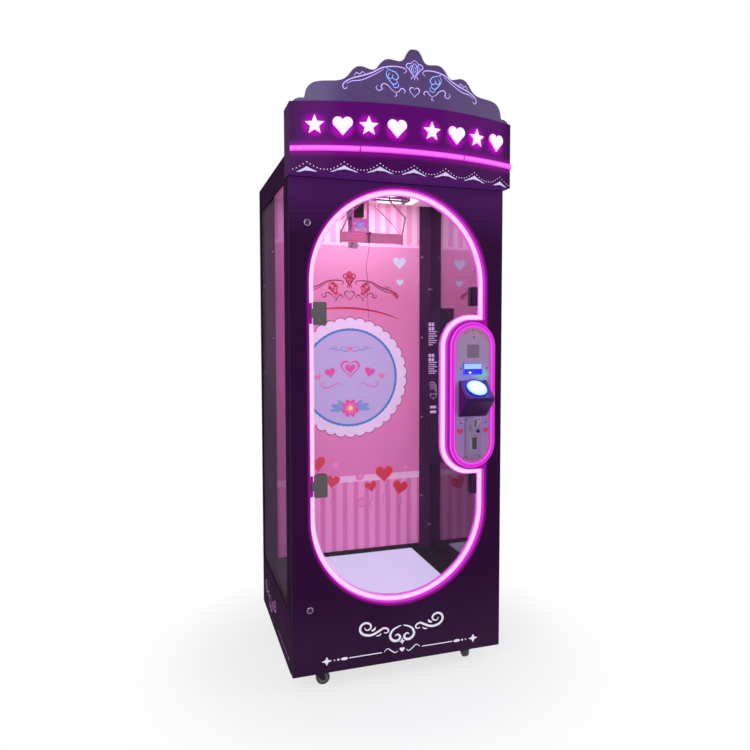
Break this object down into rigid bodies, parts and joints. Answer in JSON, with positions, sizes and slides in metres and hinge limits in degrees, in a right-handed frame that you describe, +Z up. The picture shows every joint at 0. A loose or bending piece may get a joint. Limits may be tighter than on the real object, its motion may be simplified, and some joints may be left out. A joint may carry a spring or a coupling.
{
  "type": "cut prize arcade machine",
  "caption": "Tall glazed arcade cabinet on casters with a bowed lit header, a stadium window door, side controls and a scissor unit that cuts the string a prize hangs on.",
  "frame": {"origin": "on the floor, below the middle of the machine's outline", "axes": "+X to the machine's right as seen from the front, +Y to the back, +Z up"},
  "size_m": [0.806, 0.8879, 2.221],
  "materials": {
    "dark_panel": "satin very dark purple paint",
    "black_metal": "satin black powder coat",
    "header_sheet": "satin very dark purple paint with a white dotted trim",
    "white_panel": "white lit acrylic sheet",
    "pink_panel": "printed pink board with stripes and round flower medallion",
    "pink_ceiling": "pale pink sheet",
    "neon_pink": "lit magenta silicone tube",
    "lit_white": "lit white acrylic with magenta edges",
    "crest_acrylic": "smoky acrylic with blue-violet line scrolls",
    "clear_glass": "clear toughened glass",
    "steel": "brushed steel",
    "grey_metal": "grey painted metal",
    "control_print": "pale lavender printed panel with pink scrolls",
    "display_blue": "blue lit display",
    "box_plastic": "dark purple moulded plastic",
    "button_lens": "lit white-green domed lens",
    "bezel_blue": "blue lit ring",
    "black_plastic": "matt black plastic",
    "red_plastic": "red gloss rocker",
    "pink_bar": "pale pink translucent bar and frame",
    "caster_grey": "grey rubber tread",
    "zinc": "zinc plated steel",
    "string": "thin dark plum string",
    "belt_rubber": "black timing belt"
  },
  "bodies": {
    "cabinet": {"base_pan": "black_metal", "floor_panel": "white_panel", "side_panels": "dark_panel", "side_glass": "clear_glass", "corner_posts": "black_metal", "roof": "dark_panel", "ceiling": "pink_ceiling", "back_panel": "black_metal", "backing_board": "pink_panel", "skirting": "black_metal", "header_box": "header_sheet", "header_neon": "neon_pink", "header_symbols": "lit_white", "crest_board": "crest_acrylic", "ceiling_lights": "white_panel", "rail_frame": "grey_metal", "belt_motor": "black_plastic", "drive_belt": "belt_rubber", "hanging_bar": "pink_bar", "string_clip": "black_plastic", "prize_string": "string", "hinge_brackets": "zinc", "levelling_feet": "black_plastic", "caster_plates": "zinc", "instruction_board": "black_plastic", "power_inlet": "black_plastic"},
    "front_door": {"front_panel": "dark_panel", "window_neon": "neon_pink", "control_ring": "neon_pink", "control_plate": "control_print", "display": "display_blue", "button_box": "box_plastic", "button_bezel": "bezel_blue", "coin_plate": "steel", "coin_acceptor": "black_plastic", "control_housing": "black_metal", "door_catches": "black_plastic"},
    "glass_door": {"glass_pane": "clear_glass", "glass_clamps": "grey_metal", "glass_keepers": "black_plastic"},
    "start_button": {"start_button": "button_lens"},
    "reject_button": {"reject_button": "bezel_blue"},
    "return_flap": {"return_flap": "black_plastic"},
    "cam_lock_high": {"cam_lock_high": "steel"},
    "cam_lock_low": {"cam_lock_low": "steel"},
    "carriage": {"carriage": "grey_metal", "sign_board": "pink_panel"},
    "cutter": {"cutter_slide": "steel", "cutter_gearbox": "black_plastic"},
    "blade_left": {"blade_left": "steel"},
    "blade_right": {"blade_right": "steel"},
    "motor_pulley": {"motor_pulley": "steel"},
    "idler_pulley": {"idler_pulley": "steel"},
    "power_rocker": {"power_rocker": "red_plastic"},
    "caster_fork_left": {"caster_fork_left": "zinc"},
    "caster_fork_right": {"caster_fork_right": "zinc"},
    "caster_wheel_left": {"caster_wheel_left": "caster_grey"},
    "caster_wheel_right": {"caster_wheel_right": "caster_grey"},
    "caster_wheel_rear_left": {"caster_wheel_rear_left": "caster_grey"},
    "caster_wheel_rear_right": {"caster_wheel_rear_right": "caster_grey"}
  },
  "joints": [
    {"name": "front_door_hinge", "type": "hinge", "parent": "cabinet", "child": "front_door", "pos_m": [0.391, -0.276, 0.9415], "axis": [0, 0, 1], "range_deg": [0, 95]},
    {"name": "glass_door_hinge", "type": "hinge", "parent": "front_door", "child": "glass_door", "pos_m": [-0.324, -0.287, 1.0465], "axis": [0, 0, -1], "range_deg": [0, 95]},
    {"name": "cam_lock_high_turn", "type": "hinge", "parent": "front_door", "child": "cam_lock_high", "pos_m": [-0.337, -0.302, 1.654], "axis": [0, 1, 0], "range_deg": [-90, 0]},
    {"name": "cam_lock_low_turn", "type": "hinge", "parent": "front_door", "child": "cam_lock_low", "pos_m": [-0.337, -0.302, 0.313], "axis": [0, 1, 0], "range_deg": [-90, 0]},
    {"name": "start_button_press", "type": "slide", "parent": "front_door", "child": "start_button", "axis": [0, 0.6445, -0.7646], "range_m": [0, 0.004], "stiffness_N_per_m": 1500, "springref_m": -0.002},
    {"name": "reject_button_press", "type": "slide", "parent": "front_door", "child": "reject_button", "axis": [0, 1, 0], "range_m": [0, 0.003], "stiffness_N_per_m": 600, "springref_m": -0.001},
    {"name": "return_flap_hinge", "type": "hinge", "parent": "front_door", "child": "return_flap", "pos_m": [0.287, -0.3075, 0.8875], "axis": [1, 0, 0], "range_deg": [0, 50]},
    {"name": "carriage_slide", "type": "slide", "parent": "cabinet", "child": "carriage", "axis": [1, 0, 0], "range_m": [-0.02, 0.135]},
    {"name": "motor_pulley_spin", "type": "hinge", "parent": "cabinet", "child": "motor_pulley", "pos_m": [0.125, 0.066, 1.845], "axis": [0, -1, 0], "range_deg": [-150, 975]},
    {"name": "idler_pulley_spin", "type": "hinge", "parent": "cabinet", "child": "idler_pulley", "pos_m": [-0.125, 0.066, 1.845], "axis": [0, -1, 0], "range_deg": [-150, 975]},
    {"name": "cutter_push", "type": "slide", "parent": "carriage", "child": "cutter", "axis": [0, -1, 0], "range_m": [0, 0.045]},
    {"name": "blade_right_close", "type": "hinge", "parent": "cutter", "child": "blade_right", "pos_m": [-0.06, 0.128, 1.6336], "axis": [0, 0, -1], "range_deg": [0, 16]},
    {"name": "blade_left_close", "type": "hinge", "parent": "cutter", "child": "blade_left", "pos_m": [-0.06, 0.128, 1.6313], "axis": [0, 0, -1], "range_deg": [-16, 0]},
    {"name": "power_rocker_tilt", "type": "hinge", "parent": "cabinet", "child": "power_rocker", "pos_m": [0.25, 0.435, 0.165], "axis": [1, 0, 0], "range_deg": [-16, 0]},
    {"name": "caster_swivel_left", "type": "hinge", "parent": "cabinet", "child": "caster_fork_left", "pos_m": [-0.3, -0.224, 0.063], "axis": [0, 0, 1], "continuous": true},
    {"name": "caster_swivel_right", "type": "hinge", "parent": "cabinet", "child": "caster_fork_right", "pos_m": [0.3, -0.224, 0.063], "axis": [0, 0, 1], "continuous": true},
    {"name": "caster_wheel_left_spin", "type": "hinge", "parent": "caster_fork_left", "child": "caster_wheel_left", "pos_m": [-0.276, -0.224, 0.026], "axis": [0, 1, 0], "continuous": true},
    {"name": "caster_wheel_right_spin", "type": "hinge", "parent": "caster_fork_right", "child": "caster_wheel_right", "pos_m": [0.3, -0.2, 0.026], "axis": [1, 0, 0], "continuous": true},
    {"name": "caster_wheel_rear_left_spin", "type": "hinge", "parent": "cabinet", "child": "caster_wheel_rear_left", "pos_m": [-0.3, 0.384, 0.026], "axis": [1, 0, 0], "continuous": true},
    {"name": "caster_wheel_rear_right_spin", "type": "hinge", "parent": "cabinet", "child": "caster_wheel_rear_right", "pos_m": [0.3, 0.384, 0.026], "axis": [1, 0, 0], "continuous": true}
  ],
  "couplings": [
    {"joint": "motor_pulley_spin", "follows": "carriage_slide", "rad_per_m": 125},
    {"joint": "idler_pulley_spin", "follows": "carriage_slide", "rad_per_m": 125},
    {"joint": "blade_left_close", "follows": "blade_right_close", "ratio": -1}
  ]
}
